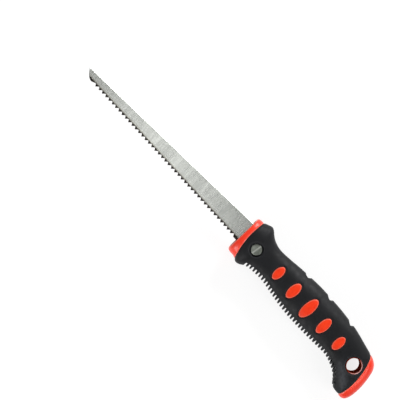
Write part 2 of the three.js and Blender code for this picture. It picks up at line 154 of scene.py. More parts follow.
# Hang hole
HANG_HOLE = np.array([133.1, -18.8])
HANG_HOLE_RADIUS = 5.7
SLEEVE_RADIUS = 6.4
SLEEVE_BEAD_RADIUS = 6.67
SLEEVE_BEAD = [  # radius and height of a bead round its middle, which closes the gap round it
    (SLEEVE_RADIUS, 1.6), (SLEEVE_BEAD_RADIUS, 1.3),
    (SLEEVE_BEAD_RADIUS, -1.3), (SLEEVE_RADIUS, -1.6),
]
SLEEVE_SET_DOWN = 1.3  # how far its ends lie below the handle's side
SLEEVE_LIP = 0.7  # how far the rounded lip rises from its ends

# Saw bolt
BOLT = np.array([21.2, -5.2])
BOLT_RECESS_RADIUS = 5.6
BOLT_HEAD_RADIUS = 4.2
BOLT_HEAD_TOP = 11.3
BOLT_HEAD_HEIGHT = 2.0
BOLT_SHANK_RADIUS = 2.0
BOLT_SHANK_END = -5.5
BARREL_RADIUS = 3.2
BARREL_END = 6.0
SLOT_WIDTH = 1.2
SLOT_DEPTH = 1.1
SLOT_TURN = -0.2
TANG_PIN_XS = [38.0, 54.0]
TANG_PIN_RADIUS = 2.0
TANG_PIN_HALF_LENGTH = 6.8

# Mesh density
EDGE_STEP = 0.45  # along the outline where it is plain
RIB_WALL = np.linspace(GROOVE_FLOOR, GROOVE_MOUTH, 5)
RIB_COLUMNS = np.array([-1.28, *-RIB_WALL[::-1], -0.2, 0.2, *RIB_WALL, 1.28])
ROUND_STEPS = 30  # rows from the outline to the middle of a side
CORE_STEPS = 12  # the same for the core
TALL = 60.0
FAR = 200.0


def box_middle(node):
    low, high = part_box(node)
    return np.array((low + high) / 2) / MM


# Where the blade's middle plane and the drawing's origin lie in the row frame
SHIFT = np.array([*(box_middle("blade_screw")[:2] - BOLT), box_middle("saw_blade")[2]])


# ---------------------------------------------------------------- curves and the body's maths

def curve_through(pairs):
    """Smooth curve through (x, y) pairs, as a function of an array of x."""
    xs, ys = np.array(pairs, float).T
    secants = np.diff(ys) / np.diff(xs)
    slopes = (np.append(secants[0], secants) + np.append(secants, secants[-1])) / 2

    def at(x):
        i = np.clip(np.searchsorted(xs, x, side="right") - 1, 0, len(xs) - 2)
        span = xs[i + 1] - xs[i]
        t = np.clip((x - xs[i]) / span, 0, 1)
        rise = t * t * (3 - 2 * t)
        leave = t * (1 - t) ** 2 * span * slopes[i]
        arrive = t * t * (t - 1) * span * slopes[i + 1]
        return ys[i] + (ys[i + 1] - ys[i]) * rise + leave + arrive

    return at


top_edge = curve_through(TOP_EDGE)
bottom_edge = curve_through(BOTTOM_EDGE)
half_thickness = curve_through(HALF_THICKNESS)
section_power = curve_through(SECTION_POWER)
skin_at_edge = curve_through(SKIN_AT_EDGE)
groove_depth = curve_through(GROOVE_DEPTH)


def smoothstep(low, high, value):
    t = np.clip((value - low) / (high - low), 0, 1)
    return t * t * (3 - 2 * t)


def soft_min(a, b, softness):
    share = np.clip(0.5 + 0.5 * (b - a) / softness, 0, 1)
    return b + (a - b) * share - softness * share * (1 - share)


def rolled(distance, radius):
    """Drop of a surface whose edge, at distance 0, is rounded with a radius."""
    inward = np.clip(radius - distance, 0, radius)
    return radius - np.sqrt(radius**2 - inward**2)


def eased(distance, reach):
    """Drop of a surface that dips gently towards an edge at distance 0."""
    return 0.5 * reach * np.clip(1 - distance / reach, 0, 1) ** 2


def butt_outline():
    """Dense points round the butt, from under BUTT_CENTRE_X to over it."""
    points = np.array(BUTT_EDGE, float)
    chords = np.linalg.norm(np.diff(points, axis=0), axis=1)
    marks = np.append(0, np.cumsum(np.sqrt(chords)))
    dense = np.linspace(marks[1], marks[-2], 1200)
    x = curve_through(list(zip(marks, points[:, 0])))(dense)
    y = curve_through(list(zip(marks, points[:, 1])))(dense)
    return np.column_stack([x, y])


def length_along(points):
    return np.append(0, np.cumsum(np.linalg.norm(np.diff(points, axis=0), axis=1)))


def resampled(points, marks):
    along = length_along(points)
    return np.column_stack([np.interp(marks, along, points[:, i]) for i in (0, 1)])


SIDE_X = np.linspace(HANDLE_FRONT, BUTT_CENTRE_X, 4000)
UNDER = np.column_stack([SIDE_X, bottom_edge(SIDE_X)])
UNDER_LENGTH = length_along(UNDER)
BUTT = butt_outline()
BUTT_HUB = np.array([BUTT_CENTRE_X, (top_edge(BUTT_CENTRE_X) + bottom_edge(BUTT_CENTRE_X)) / 2])
FIRST_GROOVE = np.interp(FIRST_GROOVE_X, SIDE_X, UNDER_LENGTH)  # along the bottom edge


def stations():
    """Points round the outline, the inside point each rounds towards, its section's x and its
    distance along the edge, which counts on from the bottom edge."""
    side_length = UNDER_LENGTH[-1]
    ribbed = np.add.outer(FIRST_GROOVE + RIB_PITCH * np.arange(RIB_COUNT), RIB_COLUMNS).ravel()
    front = np.arange(0, ribbed[0] - EDGE_STEP / 2, EDGE_STEP)
    marks = np.concatenate([front, ribbed[ribbed < side_length - 0.1], [side_length]])
    side_x = np.interp(marks, UNDER_LENGTH, SIDE_X)
    behind = ribbed[ribbed > side_length + 0.1] - side_length
    butt_length = length_along(BUTT)[-1]
    plain = np.arange(behind[-1] + EDGE_STEP, butt_length - EDGE_STEP / 2, EDGE_STEP)
    butt_marks = np.append(behind, plain)
    edge = np.concatenate([
        np.column_stack([side_x, bottom_edge(side_x)]),
        resampled(BUTT, butt_marks),
        np.column_stack([side_x, top_edge(side_x)])[::-1],
    ])
    section = np.concatenate([side_x, np.full(len(butt_marks), BUTT_CENTRE_X), side_x[::-1]])
    inside = np.column_stack([section, (top_edge(section) + bottom_edge(section)) / 2])
    along = np.concatenate([marks, side_length + butt_marks, np.full(len(side_x), np.inf)])
    return edge, inside, section, along


EDGE, INSIDE, SECTION, ALONG = stations()


def latitudes(steps):
    """Angles from one side's middle round the edge to the other's, evenly far apart on a
    typical section."""
    fine = np.linspace(0, math.pi / 2, 4000)
    power, reach, height = 2.4, 16.0, 12.0
    curve = np.column_stack([
        reach * np.cos(fine) ** (2 / power),
        height * np.sin(fine) ** (2 / power),
    ])
    along = length_along(curve)
    quarter = np.interp(np.linspace(0, along[-1], steps + 1), along, fine)
    return np.append(-quarter[:0:-1], quarter)


def groove_share(along):
    """1 on the floor of a groove and 0 on a rib's crest, from the distance along the edge."""
    index = np.clip(np.round((along - FIRST_GROOVE) / RIB_PITCH), 0, RIB_COUNT - 1)
    across = np.abs(along - FIRST_GROOVE - index * RIB_PITCH)
    return 1 - smoothstep(GROOVE_FLOOR, GROOVE_MOUTH, across)


def notch_drop(x):
    """How far the thumb notches drop the top edge."""
    drop = np.zeros_like(x)
    for start, depth in NOTCHES:
        low = start + NOTCH_LOW
        end = start + NOTCH_LENGTH
        down = 1 - np.clip((low - x) / NOTCH_LOW, 0, 1) ** 2
        up = 1 - np.clip((x - low) / (end - low), 0, 1) ** 2
        drop += depth * np.where(x < low, down, up) * ((x > start) & (x < end))
    return drop


def edge_cut(z):
    """Depth cut into the edge at each station and height: round-backed ribs on a sunk strip
    under the grip, and thumb notches on top of it."""
    x = EDGE[:, 0]
    under = np.isfinite(ALONG)
    along = np.where(under, ALONG, 0)
    last = FIRST_GROOVE + (RIB_COUNT - 1) * RIB_PITCH
    starts = smoothstep(FIRST_GROOVE - 2, FIRST_GROOVE - GROOVE_FLOOR, along)
    ends = 1 - smoothstep(last + GROOVE_FLOOR, last + 2, along)
    back = np.clip(1 - (z / RIB_HALF_WIDTH) ** 2, 0, 1)
    ribs = (1 - groove_share(along))[:, None] * back
    strip = (starts * ends * groove_depth(x))[:, None] * (1 - ribs)
    notches = notch_drop(x) * (SECTION < BUTT_CENTRE_X)
    return np.where(under[:, None], strip, notches[:, None])


def pad_centre(index):
    return np.array([PAD_FIRST_X + index * PAD_PITCH, PADS[index][0]])


def oval_distance(x, y, index, growth):
    """Distance outside a pad's oval grown by growth, nearly true close to it."""
    centre = pad_centre(index)
    _, half_width, half_height = PADS[index]
    dx, dy = x - centre[0], y - centre[1]
    u = (dx * math.cos(PAD_LEAN) - dy * math.sin(PAD_LEAN)) / (half_width + growth)
    v = (dx * math.sin(PAD_LEAN) + dy * math.cos(PAD_LEAN)) / (half_height + growth)
    reach = np.maximum(np.hypot(u, v), 1e-6)
    slope = np.hypot(u / (half_width + growth), v / (half_height + growth)) / reach
    return (reach - 1) / np.maximum(slope, 1e-6)


def moulded_drop(x, y):
    """How far rounded edges drop the outer skin, at points of the side view."""
    drop = np.zeros_like(x)
    for index in range(len(PADS)):
        drop = np.maximum(drop, eased(oval_distance(x, y, index, GAP), WINDOW_ROUND))
    from_hole = np.hypot(x - HANG_HOLE[0], y - HANG_HOLE[1])
    drop = np.maximum(drop, eased(from_hole - SLEEVE_RADIUS - GAP, WINDOW_ROUND))
    from_bolt = np.hypot(x - BOLT[0], y - BOLT[1])
    drop = np.maximum(drop, eased(from_bolt - BOLT_RECESS_RADIUS, WINDOW_ROUND))
    from_band = np.hypot(x - BAND_BACK_CENTRE[0], y - BAND_BACK_CENTRE[1]) - BAND_BACK_RADIUS
    from_band = np.where(x < BAND_BACK_CENTRE[0], from_band, -FAR)
    from_cap = np.hypot(x - CAP_ARC_CENTRE[0], y - CAP_ARC_CENTRE[1]) - CAP_ARC_RADIUS
    from_cap = np.where(x > CAP_ARC_CENTRE[0], from_cap, -FAR)
    for outward in (from_band, from_cap):
        side = np.maximum(outward, -outward - GAP)
        drop = np.maximum(drop, eased(side, PARTING_ROUND))
    front = FRONT_FACE[0] + FRONT_FACE_LEAN * (y - FRONT_FACE[1])
    return np.maximum(drop, eased(x - front, PARTING_ROUND))


def body_points(rows, growth, skinned):
    """Grid of points on the handle's rounded body, one row of the array for each station."""
    reach = EDGE - INSIDE
    length = np.linalg.norm(reach, axis=1)
    direction = reach / length[:, None]
    length = length + growth - (0 if skinned else skin_at_edge(SECTION))
    height = half_thickness(SECTION) + growth - (0 if skinned else SKIN_AT_FACE)
    power = section_power(SECTION)[:, None]
    along = np.cos(rows)[None, :] ** (2 / power)
    along[:, [0, -1]] = 0
    up = np.sign(rows) * np.abs(np.sin(rows))[None, :] ** (2 / power)
    out = length[:, None] * along
    if skinned:
        cut = edge_cut(np.abs(height[:, None] * up))
        floor = length[:, None] - cut + SOFTNESS * np.clip(1 - cut / SOFTNESS, 0, 1)
        out = soft_min(out, floor, SOFTNESS)
        out[:, [0, -1]] = 0
    flat = INSIDE[:, None, :] + direction[:, None, :] * out[:, :, None]
    return np.dstack([flat, height[:, None] * up])


def normals_of(grid):
    across = np.gradient(grid, axis=0)
    down = np.gradient(grid, axis=1)
    normals = np.cross(across, down)
    sizes = np.linalg.norm(normals, axis=2, keepdims=True)
    normals = normals / np.maximum(sizes, 1e-9)
    normals[:, 0] = (0, 0, -1)
    normals[:, -1] = (0, 0, 1)
    return normals


def dimple_drop(grid):
    """Round ends of the grooves on the heel, where the ribs die out."""
    inset = np.linalg.norm(EDGE[:, None, :] - grid[:, :, :2], axis=2)
    along = np.where(np.isfinite(ALONG), ALONG, -FAR)[:, None]
    last = FIRST_GROOVE + (RIB_COUNT - 0.5) * RIB_PITCH
    near = groove_share(along) * np.exp(-(((inset - DIMPLE_INSET) / DIMPLE_WIDTH) ** 2))
    fade = smoothstep(DIMPLES_FROM_X, DIMPLES_FROM_X + 6, EDGE[:, 0])[:, None]
    return DIMPLE_DEPTH * near * fade * (along < last)


def heel_thinning(grid):
    """Share of the thickness lost to a broad soft slope between the heel's edge and the hole."""
    inset = np.linalg.norm(EDGE[:, None, :] - grid[:, :, :2], axis=2)
    x = np.where(EDGE[:, 1] < BUTT_HUB[1], EDGE[:, 0], 0)[:, None]
    near = smoothstep(*HEEL_RISE, x) * (1 - smoothstep(*HEEL_FALL, x))
    return HEEL_THINNING * near * (1 - smoothstep(*HEEL_INSET, inset))


def outer_points():
    grid = body_points(latitudes(ROUND_STEPS), 0, True)
    drop = moulded_drop(grid[:, :, 0], grid[:, :, 1]) + dimple_drop(grid)
    grid[:, :, 2] *= 1 - heel_thinning(grid)
    return grid - normals_of(grid) * drop[:, :, None]


def side_height(x, y, growth=0.0, skinned=True):
    """Height of a side of the plain body over points of the side view."""
    x, y = np.asarray(x, float), np.asarray(y, float)
    section = np.minimum(x, BUTT_CENTRE_X)
    middle = (top_edge(section) + bottom_edge(section)) / 2
    angles = np.arctan2(BUTT[:, 1] - BUTT_HUB[1], BUTT[:, 0] - BUTT_HUB[0])
    reaches = np.linalg.norm(BUTT - BUTT_HUB, axis=1)
    fan = np.interp(np.arctan2(y - BUTT_HUB[1], x - BUTT_HUB[0]), angles, reaches)
    reach = np.where(x > BUTT_CENTRE_X, fan, (top_edge(section) - bottom_edge(section)) / 2)
    out = np.where(x > BUTT_CENTRE_X, np.hypot(x - BUTT_HUB[0], y - BUTT_HUB[1]), abs(y - middle))
    reach = reach + growth - (0 if skinned else skin_at_edge(section))
    height = half_thickness(section) + growth - (0 if skinned else SKIN_AT_FACE)
    power = section_power(section)
    return height * (1 - np.clip(out / reach, 0, 1) ** power) ** (1 / power)


# ---------------------------------------------------------------- making meshes

def make_piece(name, points, faces, merge=0.0):
    """Mesh object from points in millimetres about the blade's middle plane."""
    mesh = bpy.data.meshes.new(name)
    placed = (np.asarray(points, float) + SHIFT) * MM
    mesh.from_pydata(placed.tolist(), [], faces)
    bm = bmesh.new()
    bm.from_mesh(mesh)
    if merge:
        bmesh.ops.remove_doubles(bm, verts=bm.verts, dist=merge * MM)
    bmesh.ops.recalc_face_normals(bm, faces=bm.faces)
    bm.to_mesh(mesh)
    bm.free()
    piece = bpy.data.objects.new(name, mesh)
    bpy.context.scene.collection.objects.link(piece)
    return piece


def grid_faces(columns, rows, closed=False):
    """Quads of a grid whose points run down each column, closed round the columns or not."""
    last = columns if closed else columns - 1
    return [
        (c * rows + r, (c + 1) % columns * rows + r, (c + 1) % columns * rows + r + 1, c * rows + r + 1)
        for c in range(last) for r in range(rows - 1)
    ]


def closed_body(name, grid):
    """Closed solid from a grid round the handle: its open front end is fanned to one point."""
    columns, rows = grid.shape[:2]
    points = np.concatenate([grid.reshape(-1, 3), [[*INSIDE[0], 0]]])
    hub = columns * rows
    last = (columns - 1) * rows
    faces = grid_faces(columns, rows)
    faces += [(hub, r, r + 1) for r in range(rows - 1)]
    faces += [(hub, last + r + 1, last + r) for r in range(rows - 1)]
    return make_piece(name, points, faces, merge=0.002)


def prism(outline, low=-TALL / 2, high=TALL / 2):
    """Solid with straight walls over an outline of the side view."""
    outline = np.asarray(outline, float)
    count = len(outline)
    points = np.concatenate([
        np.column_stack([outline, np.full(count, low)]),
        np.column_stack([outline, np.full(count, high)]),
    ])
    faces = [tuple(range(count))[::-1], tuple(range(count, 2 * count))]
    faces += [(i, (i + 1) % count, count + (i + 1) % count, count + i) for i in range(count)]
    return make_piece("cutter", points, faces)


def circle(centre, radius, count=96):
    angles = np.linspace(0, 2 * math.pi, count, endpoint=False)
    return np.column_stack([
        centre[0] + radius * np.cos(angles),
        centre[1] + radius * np.sin(angles),
    ])


def oval(index, growth, count=128):
    """Outline of a pad grown by growth."""
    angles = np.linspace(0, 2 * math.pi, count, endpoint=False)
    return oval_points(index, growth, np.cos(angles), np.sin(angles))


def oval_points(index, growth, across, up):
    centre = pad_centre(index)
    _, half_width, half_height = PADS[index]
    u = across * (half_width + growth)
    v = up * (half_height + growth)
    x = centre[0] + u * math.cos(PAD_LEAN) + v * math.sin(PAD_LEAN)
    y = centre[1] - u * math.sin(PAD_LEAN) + v * math.cos(PAD_LEAN)
    return np.stack([x, y], axis=-1)


def arc(centre, radius, start, end, count=160):
    angles = np.linspace(start, end, count)
    return np.column_stack([
        centre[0] + radius * np.cos(angles),
        centre[1] + radius * np.sin(angles),
    ])


def ahead_of_front(set_back):
    def face(y):
        return FRONT_FACE[0] + set_back + FRONT_FACE_LEAN * (y - FRONT_FACE[1])

    return prism([(-FAR, -FAR), (face(-FAR), -FAR), (face(FAR), FAR), (-FAR, FAR)])


def behind_band(set_back):
    """Everything behind the band's back edge."""
    wall = arc(BAND_BACK_CENTRE, BAND_BACK_RADIUS - set_back, math.pi - 0.8, math.pi + 0.8)
    return prism([*wall, (FAR, -FAR), (FAR, FAR)])


def ahead_of_cap(set_back):
    """Everything ahead of the butt cap's arc."""
    radius = CAP_ARC_RADIUS - set_back
    wall = arc(CAP_ARC_CENTRE, radius, -math.pi / 2, math.pi / 2)
    y = CAP_ARC_CENTRE[1]
    return prism([*wall, (-FAR, y + radius), (-FAR, y - radius)])


def combine(piece, operation, other):
    """Applies one boolean to piece and removes the other object."""
    modifier = piece.modifiers.new("boolean", "BOOLEAN")
    modifier.operation = operation
    modifier.solver = "MANIFOLD"
    modifier.object = other
    apply_modifiers(piece)
    bpy.data.objects.remove(other)
    return piece


def cut(piece, *others):
    for other in others:
        combine(piece, "DIFFERENCE", other)
    return piece


def apply_modifiers(piece):
    evaluated = piece.evaluated_get(bpy.context.evaluated_depsgraph_get())
    mesh = bpy.data.meshes.new_from_object(evaluated)
    piece.modifiers.clear()
    piece.data = mesh


def copy_of(piece, name):
    twin = piece.copy()
    twin.data = piece.data.copy()
    twin.name = name
    bpy.context.scene.collection.objects.link(twin)
    return twin


def finish_piece(piece, name, nodes, material, sharp=40):
    """Names a piece, shades it, gives it its finish and puts it in the place of CAD nodes."""
    piece.name = name
    piece.data.name = name
    piece.data.materials.clear()
    piece.data.materials.append(material)
    piece.data.shade_smooth()
    piece.data.set_sharp_from_angle(angle=math.radians(sharp))
    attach(piece, "root")
    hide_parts(*nodes)
    return piece


def side_view(piece):
    """Design x, y and z of a piece's vertices, in millimetres."""
    flat = np.zeros(len(piece.data.vertices) * 3)
    piece.data.vertices.foreach_get("co", flat)
    return (flat.reshape(-1, 3) / MM - SHIFT).T


def paint(piece, name, values):
    """Stores one number for each vertex, for the material to read."""
    attribute = piece.data.attributes.new(name, "FLOAT", "POINT")
    attribute.data.foreach_set("value", np.asarray(values, np.float32))


# ---------------------------------------------------------------- materials

def srgb(red, green, blue):
    """Linear colour of a display colour given as 0 to 255."""
    def linear(value):
        share = value / 255
        return share / 12.92 if share <= 0.04045 else ((share + 0.055) / 1.055) ** 2.4

    return (linear(red), linear(green), linear(blue), 1)


class Finish:
    """A material's node tree, with short calls for the nodes that these finishes need."""

    def __init__(self, name):
        self.material = bpy.data.materials.new(name)
        self.material.use_nodes = True
        self.nodes = self.material.node_tree.nodes
        self.links = self.material.node_tree.links
        self.shader = self.nodes["Principled BSDF"]
        self.place = self.nodes.new("ShaderNodeTexCoord").outputs["Object"]

    def set(self, **values):
        for name, value in values.items():
            self.shader.inputs[name.replace("_", " ")].default_value = value

    def link(self, source, target):
        self.links.new(source, target)

    def attribute(self, name):
        node = self.nodes.new("ShaderNodeAttribute")
        node.attribute_name = name
        return node.outputs["Fac"]

    def axis(self, index):
        node = self.nodes.new("ShaderNodeSeparateXYZ")
        self.link(self.place, node.inputs[0])
        return node.outputs[index]

    def math(self, operation, *values):
        node = self.nodes.new("ShaderNodeMath")
        node.operation = operation
        for socket, value in zip(node.inputs, values):
            if isinstance(value, (int, float)):
                socket.default_value = value
            else:
                self.link(value, socket)
        return node.outputs[0]

    def stretched(self, x, y, z, turn=0.0):
        """Object coordinates scaled along each axis."""
        node = self.nodes.new("ShaderNodeMapping")
        node.inputs["Scale"].default_value = (x, y, z)
        node.inputs["Rotation"].default_value = (0, 0, turn)
        self.link(self.place, node.inputs["Vector"])
        return node.outputs[0]

    def noise(self, scale, detail=3.0, roughness=0.55, place=None):
        node = self.nodes.new("ShaderNodeTexNoise")
        node.inputs["Scale"].default_value = scale
        node.inputs["Detail"].default_value = detail
        node.inputs["Roughness"].default_value = roughness
        self.link(place or self.place, node.inputs["Vector"])
        return node.outputs["Fac"]

    def grains(self, scale, place=None):
        """Distance to the nearest of scattered grains."""
        node = self.nodes.new("ShaderNodeTexVoronoi")
        node.inputs["Scale"].default_value = scale
        self.link(place or self.place, node.inputs["Vector"])
        return node.outputs["Distance"]

    def spread(self, value, from_low, from_high, to_low, to_high):
        node = self.nodes.new("ShaderNodeMapRange")
        for socket, number in zip(node.inputs[1:5], (from_low, from_high, to_low, to_high)):
            socket.default_value = number
        self.link(value, node.inputs[0])
        return node.outputs[0]

    def blend(self, share, first, second):
        """Colour between two, each a fixed colour or a socket."""
        node = self.nodes.new("ShaderNodeMix")
        node.data_type = "RGBA"
        sockets = [s for s in node.inputs if s.type == "RGBA"]
        self.link(share, node.inputs[0])
        for socket, colour in zip(sockets, (first, second)):
            if isinstance(colour, tuple):
                socket.default_value = colour
            else:
                self.link(colour, socket)
        return [s for s in node.outputs if s.type == "RGBA"][0]

    def bump(self, height, strength, distance, below=None):
        node = self.nodes.new("ShaderNodeBump")
        node.inputs["Strength"].default_value = strength
        node.inputs["Distance"].default_value = distance * MM
        self.link(height, node.inputs["Height"])
        if below is not None:
            self.link(below, node.inputs["Normal"])
        return node.outputs[0]

    def wear(self, colour=None, roughness=None, normal=None):
        if colour is not None:
            self.link(colour, self.shader.inputs["Base Color"])
        if roughness is not None:
            self.link(roughness, self.shader.inputs["Roughness"])
        if normal is not None:
            self.link(normal, self.shader.inputs["Normal"])
        return self.material


def rubber_finish():
    """Charcoal soft-touch rubber: fine moulded grain, paler on worn rib crests, with painted highlights
    on its rounded edges and a painted highlight band across the heel.
    """
    finish = Finish("grip_rubber")
    finish.set(Specular_IOR_Level=0.2)
    cloudy = finish.spread(finish.noise(90, 4), 0.35, 0.65, 0, 1)
    colour = finish.blend(cloudy, srgb(17, 18, 20), srgb(22, 23, 26))
    specks = finish.spread(finish.noise(2600, 2), 0.66, 0.74, 0, 0.5)
    colour = finish.blend(specks, colour, srgb(42, 44, 48))
    # Paler on worn rib crests, and painted highlights on rounded edges and across the heel
    wear_and_sheen = finish.math("MULTIPLY", finish.attribute("wear_and_sheen"), finish.noise(420, 3))
    colour = finish.blend(wear_and_sheen, colour, srgb(76, 78, 82))
    roughness = finish.spread(finish.noise(260, 3), 0.3, 0.7, 0.5, 0.66)
    grain = finish.bump(finish.grains(3600), 0.3, 0.05)
    normal = finish.bump(finish.noise(900, 2), 0.1, 0.04, grain)
    return finish.wear(colour, roughness, normal)


def trim_finish(name, deep, light, edge, shine=0.5):
    """Moulded orange plastic, with a painted highlight that makes it a little paler on its rounded
    edges.
    """
    finish = Finish(name)
    finish.set(Specular_IOR_Level=shine, Coat_Weight=0.2 * shine, Coat_Roughness=0.18)
    cloudy = finish.spread(finish.noise(120, 4), 0.35, 0.65, 0, 1)
    colour = finish.blend(cloudy, deep, light)
    # Painted highlight on rounded edges, from the rim attribute
    rim_sheen = finish.math("MULTIPLY", finish.attribute("rim"), finish.spread(
        finish.noise(300, 3), 0.3, 0.7, 0.45, 1))
    colour = finish.blend(rim_sheen, colour, edge)
    roughness = finish.spread(finish.noise(500, 4), 0.3, 0.7, 0.3, 0.42)
    texture = finish.bump(finish.noise(1800, 3), 0.18, 0.05)
    return finish.wear(colour, roughness, texture)


def pad_finish():
    """Softer orange of the pads, matt, with a fine spark-eroded grain and a painted highlight round the
    rim.
    """
    finish = Finish("pad_rubber")
    finish.set(Specular_IOR_Level=0.2)
    cloudy = finish.spread(finish.noise(160, 4), 0.35, 0.65, 0, 1)
    colour = finish.blend(cloudy, srgb(226, 50, 14), srgb(236, 58, 19))
    # Painted highlight round the pad's rim
    rim_sheen = finish.math("MULTIPLY", finish.attribute("rim"), finish.spread(
        finish.noise(320, 3), 0.3, 0.7, 0.5, 1))
    colour = finish.blend(rim_sheen, colour, srgb(238, 118, 96))
    roughness = finish.spread(finish.noise(600, 3), 0.3, 0.7, 0.42, 0.56)
    normal = finish.bump(finish.grains(1700), 0.25, 0.08)
    return finish.wear(colour, roughness, normal)


def tooth_line_height(finish):
    """Height of a point over the line through the tooth tips, in millimetres."""
    x = finish.math("SUBTRACT", finish.axis(0), float(SHIFT[0] + TOOTH_LINE_START[0]) * MM)
    drop = finish.math("MULTIPLY", x, TOOTH_LINE_SLOPE)
    above = finish.math("SUBTRACT", finish.axis(1), drop)
    above = finish.math("SUBTRACT", above, float(SHIFT[1] + TOOTH_LINE_START[1]) * MM)
    return finish.math("DIVIDE", above, MM)


def blade_finish():
    """Ground steel: cross-ground lines and an oxide-dark hardened edge."""
    finish = Finish("blade_steel")
    finish.set(Metallic=1.0)
    lines = finish.noise(1, 4, 0.7, finish.stretched(2600, 90, 90, 0.05))
    faint = finish.noise(1, 3, 0.6, finish.stretched(260, 30, 30, 0.05))
    clouds = finish.noise(38, 3)
    steel = finish.blend(finish.spread(lines, 0.3, 0.7, 0, 1),
                         srgb(198, 201, 195), srgb(224, 226, 221))
    steel = finish.blend(finish.spread(clouds, 0.35, 0.7, 0, 0.35), steel, srgb(178, 183, 177))
    above = tooth_line_height(finish)
    ripple = finish.math("MULTIPLY", finish.noise(650, 3), 1.1)
    heat = finish.math("SUBTRACT", above, ripple)
    straw = finish.spread(heat, 1.8, 2.9, 0.6, 0)
    steel = finish.blend(straw, steel, srgb(146, 140, 122))
    burnt = finish.spread(heat, 1.4, 2.0, 1, 0)
    colour = finish.blend(burnt, steel, srgb(50, 46, 44))
    roughness = finish.spread(faint, 0.3, 0.7, 0.24, 0.29)
    normal = finish.bump(lines, 0.1, 0.03)
    return finish.wear(colour, roughness, normal)


def zinc_finish():
    """Zinc-plated turned steel, dull all over but for a painted highlight on the floor of the driver
    slot.
    """
    finish = Finish("fastener_zinc")
    finish.set(Metallic=1.0)
    clouds = finish.spread(finish.noise(420, 4), 0.3, 0.7, 0, 1)
    colour = finish.blend(clouds, srgb(140, 146, 136), srgb(172, 178, 168))
    # Painted highlight on the floor of the driver slot
    colour = finish.blend(finish.attribute("slot_sheen"), colour, srgb(214, 218, 210))
    roughness = finish.spread(finish.noise(900, 3), 0.3, 0.7, 0.28, 0.46)
    normal = finish.bump(finish.noise(2400, 3), 0.2, 0.04)
    return finish.wear(colour, roughness, normal)


def core_finish():
    """Hard black plastic of the core, left plain."""
    finish = Finish("core_plastic")
    finish.set(Specular_IOR_Level=0.4)
    clouds = finish.spread(finish.noise(140, 4), 0.3, 0.7, 0, 1)
    colour = finish.blend(clouds, srgb(26, 27, 29), srgb(34, 35, 38))
    roughness = finish.spread(finish.noise(700, 3), 0.3, 0.7, 0.5, 0.62)
    normal = finish.bump(finish.noise(1500, 3), 0.25, 0.05)
    return finish.wear(colour, roughness, normal)


RUBBER = rubber_finish()
# The last colour is the painted highlight on rounded edges
TRIM = trim_finish("trim_plastic", srgb(232, 50, 24), srgb(242, 58, 31), srgb(246, 126, 106), 0.4)
PAD = pad_finish()
BLADE = blade_finish()
ZINC = zinc_finish()
CORE = core_finish()
# Sleeve colours darkened as painted shade in the hang hole's bore, with a pale painted highlight for
# its lip
SHADED_SLEEVE = trim_finish(
    "shaded_sleeve_plastic", srgb(112, 36, 20), srgb(128, 44, 26), srgb(240, 192, 188), 0.0
)


# ---------------------------------------------------------------- the handle's mouldings

def rib_crests(x, y):
    """1 on the crests of the ribs and on the top edge's lips, 0 away from them."""
    along = np.interp(x, SIDE_X, UNDER_LENGTH)
    crest = 1 - groove_share(along)
    near = np.exp(-(((y - bottom_edge(x)) / 0.9) ** 2))
    ribbed = (x > FIRST_GROOVE_X) & (x < BUTT_CENTRE_X)
    return 0.5 * crest * near * ribbed


def heel_sheen(x, y):
    """1 along the middle of a painted highlight band across the heel, 0 away from it."""
    across = (x - HEEL_SHEEN_MIDDLE[0]) * HEEL_SHEEN_ACROSS[0] + (y - HEEL_SHEEN_MIDDLE[1]) * HEEL_SHEEN_ACROSS[1]
    ends = smoothstep(*HEEL_SHEEN_RISE, x) * (1 - smoothstep(*HEEL_SHEEN_FALL, x))
    return ends * np.exp(-((across / HEEL_SHEEN_WIDTH) ** 2))


def edge_sheen(x, y):
    """1 on rounded edges, which get a painted highlight, 0 away from them."""
    return np.clip(2 * moulded_drop(x, y) / PARTING_ROUND, 0, 1)


def make_grip(body, void):
    grip = copy_of(body, "grip")
    combine(grip, "INTERSECT", behind_band(GAP))
    combine(grip, "INTERSECT", ahead_of_cap(GAP))
    cut(grip, copy_of(void, "cutter"))
    cut(grip, *[prism(oval(i, GAP)) for i in range(len(PADS))])
    cut(grip, prism(circle(HANG_HOLE, SLEEVE_RADIUS + GAP)))
    cut(grip, prism(circle(BOLT, BOLT_RECESS_RADIUS)))
    x, y, _ = side_view(grip)
    # Worn rib crests, plus painted highlights on rounded edges and in a band across the heel
    wear_and_sheen = rib_crests(x, y) + 0.35 * edge_sheen(x, y) + heel_sheen(x, y)
    paint(grip, "wear_and_sheen", np.clip(wear_and_sheen, 0, 1))
    finish_piece(grip, "grip", ["grip_overmould"], RUBBER, sharp=50)


def make_band(body, void):
    band = copy_of(body, "band")
    cut(band, ahead_of_front(0), behind_band(0), copy_of(void, "cutter"))
    x, y, _ = side_view(band)
    # Painted highlight on the band's rounded edges
    paint(band, "rim", edge_sheen(x, y))
    finish_piece(band, "band", ["front_band"], TRIM)


def make_cap(body, void):
    cap = copy_of(body, "cap")
    cut(cap, ahead_of_cap(0), copy_of(void, "cutter"))
    x, y, _ = side_view(cap)
    # Painted highlight on the cap's rounded edges
    paint(cap, "rim", edge_sheen(x, y))
    finish_piece(cap, "cap", ["butt_cap"], TRIM)


def pin_centre(x):
    share = (x - TANG_START[0]) / (TANG_END[0] - TANG_START[0])
    return np.array([x, TANG_START[1] + share * (TANG_END[1] - TANG_START[1])])


def tooth_point(distance, depth):
    return TOOTH_LINE_START + (distance, distance * TOOTH_LINE_SLOPE + depth)


def bent(start, control, end, count=10):
    """Points on a quadratic curve, without its first one."""
    t = np.linspace(0, 1, count + 1)[1:, None]
    start, control, end = (np.asarray(p, float) for p in (start, control, end))
    return (1 - t) ** 2 * start + 2 * t * (1 - t) * control + t**2 * end


